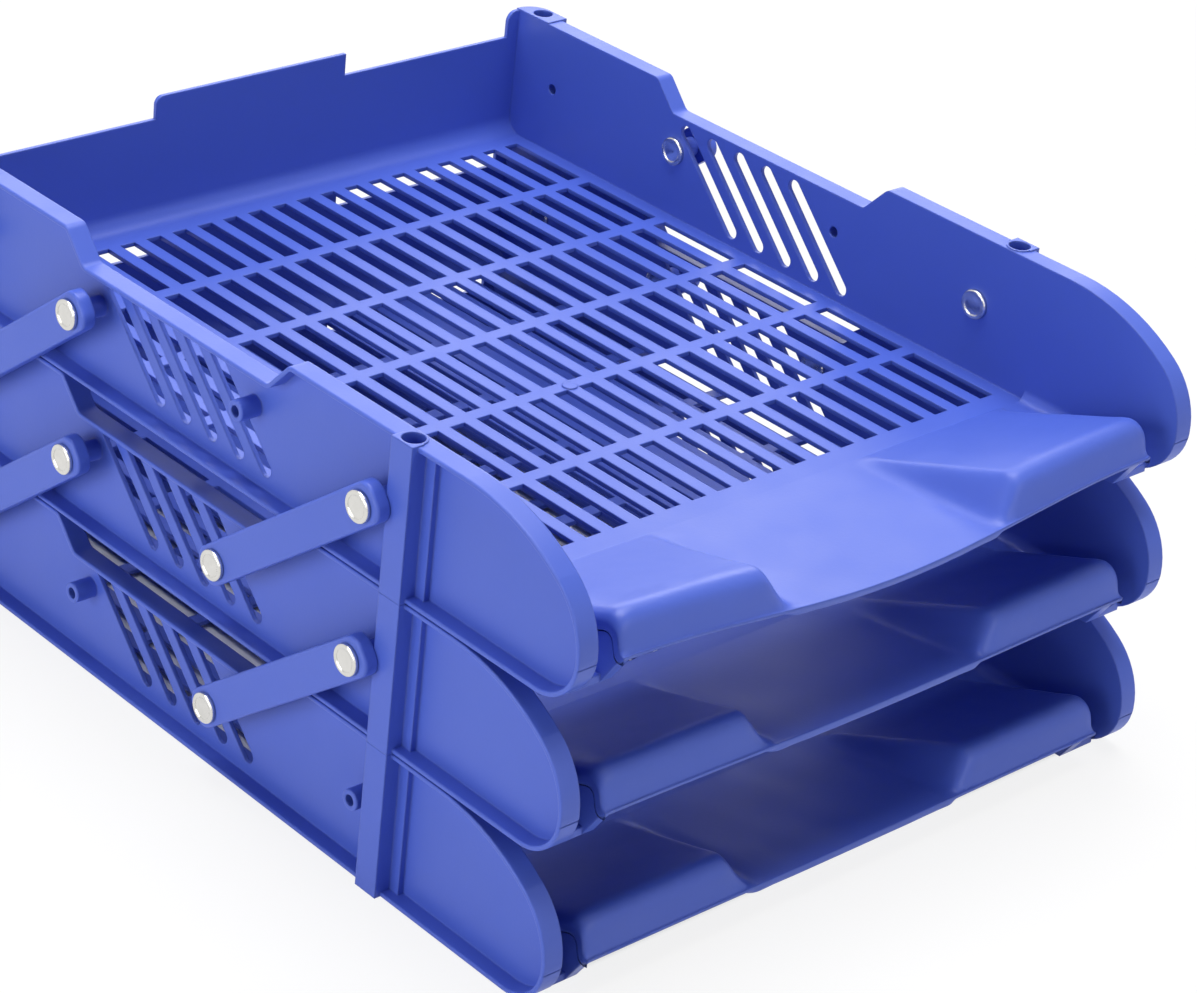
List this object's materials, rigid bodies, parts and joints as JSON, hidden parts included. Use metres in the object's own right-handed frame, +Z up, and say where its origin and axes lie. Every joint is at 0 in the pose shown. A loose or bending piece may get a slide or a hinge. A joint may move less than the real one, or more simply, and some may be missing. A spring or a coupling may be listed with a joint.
{
  "type": "three-tier document tray",
  "caption": "Stack of open document trays with slotted floors, linked by swing arms on capped rivets so that each upper tray swings up and back off the one below.",
  "frame": {"origin": "middle of the base, on the surface that the bottom tray stands on", "axes": "+X to the right seen from the front, +Y to the rear, +Z up"},
  "size_m": [0.2716, 0.314, 0.15],
  "materials": {
    "tray_plastic": "satin",
    "arm_plastic": "satin",
    "chrome": "polished"
  },
  "bodies": {
    "bottom_tray": {"bottom_tray": "tray_plastic", "lower_left_rear_foot_rivet": "chrome", "lower_left_rear_foot_rivet_cap": "chrome", "lower_left_front_foot_rivet": "chrome", "lower_left_front_foot_rivet_cap": "chrome", "lower_right_rear_foot_rivet": "chrome", "lower_right_rear_foot_rivet_cap": "chrome", "lower_right_front_foot_rivet": "chrome", "lower_right_front_foot_rivet_cap": "chrome"},
    "middle_tray": {"middle_tray": "tray_plastic", "lower_left_rear_head_rivet": "chrome", "lower_left_rear_head_rivet_cap": "chrome", "lower_left_front_head_rivet": "chrome", "lower_left_front_head_rivet_cap": "chrome", "lower_right_rear_head_rivet": "chrome", "lower_right_rear_head_rivet_cap": "chrome", "lower_right_front_head_rivet": "chrome", "lower_right_front_head_rivet_cap": "chrome", "upper_left_rear_foot_rivet": "chrome", "upper_left_rear_foot_rivet_cap": "chrome", "upper_left_front_foot_rivet": "chrome", "upper_left_front_foot_rivet_cap": "chrome", "upper_right_rear_foot_rivet": "chrome", "upper_right_rear_foot_rivet_cap": "chrome", "upper_right_front_foot_rivet": "chrome", "upper_right_front_foot_rivet_cap": "chrome"},
    "top_tray": {"top_tray": "tray_plastic", "upper_left_rear_head_rivet": "chrome", "upper_left_rear_head_rivet_cap": "chrome", "upper_left_front_head_rivet": "chrome", "upper_left_front_head_rivet_cap": "chrome", "upper_right_rear_head_rivet": "chrome", "upper_right_rear_head_rivet_cap": "chrome", "upper_right_front_head_rivet": "chrome", "upper_right_front_head_rivet_cap": "chrome"},
    "lower_left_rear_arm": {"lower_left_rear_arm": "arm_plastic"},
    "lower_left_front_arm": {"lower_left_front_arm": "arm_plastic"},
    "lower_right_rear_arm": {"lower_right_rear_arm": "arm_plastic"},
    "lower_right_front_arm": {"lower_right_front_arm": "arm_plastic"},
    "upper_left_rear_arm": {"upper_left_rear_arm": "arm_plastic"},
    "upper_left_front_arm": {"upper_left_front_arm": "arm_plastic"},
    "upper_right_rear_arm": {"upper_right_rear_arm": "arm_plastic"},
    "upper_right_front_arm": {"upper_right_front_arm": "arm_plastic"}
  },
  "joints": [
    {"name": "lower_swing", "type": "hinge", "parent": "bottom_tray", "child": "lower_left_rear_arm", "pos_m": [-0.13195, 0.1345, 0.0265], "axis": [-1, 0, 0], "range_deg": [0, 104]},
    {"name": "lower_left_front_foot_hinge", "type": "hinge", "parent": "bottom_tray", "child": "lower_left_front_arm", "pos_m": [-0.13195, -0.0075, 0.0265], "axis": [-1, 0, 0], "range_deg": [0, 104]},
    {"name": "lower_right_rear_foot_hinge", "type": "hinge", "parent": "bottom_tray", "child": "lower_right_rear_arm", "pos_m": [0.13195, 0.1345, 0.0265], "axis": [-1, 0, 0], "range_deg": [0, 104]},
    {"name": "lower_right_front_foot_hinge", "type": "hinge", "parent": "bottom_tray", "child": "lower_right_front_arm", "pos_m": [0.13195, -0.0075, 0.0265], "axis": [-1, 0, 0], "range_deg": [0, 104]},
    {"name": "lower_head_hinge", "type": "hinge", "parent": "lower_left_rear_arm", "child": "middle_tray", "pos_m": [-0.13195, 0.0705, 0.0765], "axis": [-1, 0, 0], "range_deg": [-104, 0]},
    {"name": "upper_swing", "type": "hinge", "parent": "middle_tray", "child": "upper_left_rear_arm", "pos_m": [-0.13195, 0.1345, 0.0765], "axis": [-1, 0, 0], "range_deg": [0, 104]},
    {"name": "upper_left_front_foot_hinge", "type": "hinge", "parent": "middle_tray", "child": "upper_left_front_arm", "pos_m": [-0.13195, -0.0075, 0.0765], "axis": [-1, 0, 0], "range_deg": [0, 104]},
    {"name": "upper_right_rear_foot_hinge", "type": "hinge", "parent": "middle_tray", "child": "upper_right_rear_arm", "pos_m": [0.13195, 0.1345, 0.0765], "axis": [-1, 0, 0], "range_deg": [0, 104]},
    {"name": "upper_right_front_foot_hinge", "type": "hinge", "parent": "middle_tray", "child": "upper_right_front_arm", "pos_m": [0.13195, -0.0075, 0.0765], "axis": [-1, 0, 0], "range_deg": [0, 104]},
    {"name": "upper_head_hinge", "type": "hinge", "parent": "upper_left_rear_arm", "child": "top_tray", "pos_m": [-0.13195, 0.0705, 0.1265], "axis": [-1, 0, 0], "range_deg": [-104, 0]}
  ],
  "couplings": [
    {"joint": "lower_left_front_foot_hinge", "follows": "lower_swing", "ratio": 1},
    {"joint": "lower_right_rear_foot_hinge", "follows": "lower_swing", "ratio": 1},
    {"joint": "lower_right_front_foot_hinge", "follows": "lower_swing", "ratio": 1},
    {"joint": "lower_head_hinge", "follows": "lower_swing", "ratio": -1},
    {"joint": "upper_left_front_foot_hinge", "follows": "upper_swing", "ratio": 1},
    {"joint": "upper_right_rear_foot_hinge", "follows": "upper_swing", "ratio": 1},
    {"joint": "upper_right_front_foot_hinge", "follows": "upper_swing", "ratio": 1},
    {"joint": "upper_head_hinge", "follows": "upper_swing", "ratio": -1}
  ]
}
